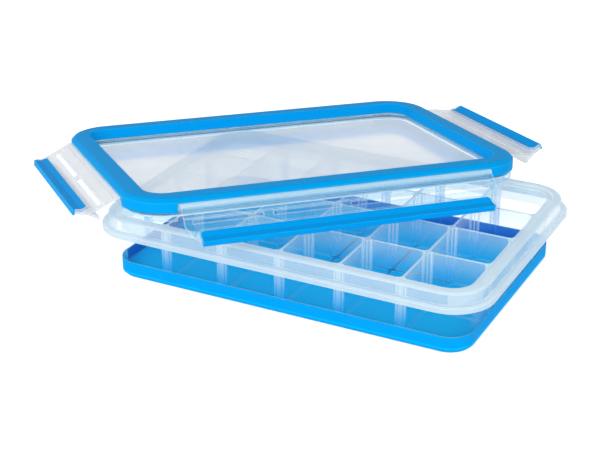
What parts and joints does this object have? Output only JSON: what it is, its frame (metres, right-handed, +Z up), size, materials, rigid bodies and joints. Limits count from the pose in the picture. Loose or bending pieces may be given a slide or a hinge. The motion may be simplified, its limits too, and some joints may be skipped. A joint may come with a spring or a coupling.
{
  "type": "ice cube tray with clip lid",
  "caption": "Clear ice cube tray with a soft push-out base and a blue-framed clip lid lying askew on its rim, its clips swung open.",
  "frame": {"origin": "centre of the tray's underside, where it stands", "axes": "+X along the tray's long side, +Y to its back, +Z up"},
  "size_m": [0.3181, 0.3014, 0.0742],
  "materials": {
    "clear": "clear, glossy",
    "blue_soft": "satin",
    "blue_hard": "satin",
    "seal_soft": "matte"
  },
  "bodies": {
    "tray": {"tray_body": "clear", "tray_base": "blue_soft", "lid_panel": "clear", "lid_frame": "blue_hard", "lid_seal": "seal_soft"},
    "left_clip": {"left_clip": "clear", "left_grip": "blue_soft"},
    "right_clip": {"right_clip": "clear", "right_grip": "blue_soft"},
    "front_clip": {"front_clip": "clear", "front_grip": "blue_soft"},
    "back_clip": {"back_clip": "clear", "back_grip": "blue_soft"}
  },
  "joints": [
    {"name": "left_hinge", "type": "hinge", "parent": "tray", "child": "left_clip", "pos_m": [-0.13144, -0.06894, 0.06313], "axis": [-0.7465, 0.6582, -0.0976], "range_deg": [-64, 116]},
    {"name": "right_hinge", "type": "hinge", "parent": "tray", "child": "right_clip", "pos_m": [0.03664, 0.12014, 0.05258], "axis": [0.7465, -0.6582, 0.0976], "range_deg": [-53, 95]},
    {"name": "front_hinge", "type": "hinge", "parent": "tray", "child": "front_clip", "pos_m": [0.01874, -0.03271, 0.0665], "axis": [-0.6638, -0.7468, 0.0417], "range_deg": [-17, 139]},
    {"name": "back_hinge", "type": "hinge", "parent": "tray", "child": "back_clip", "pos_m": [-0.11354, 0.08391, 0.04921], "axis": [0.6638, 0.7468, -0.0417], "range_deg": [-24, 116]}
  ]
}
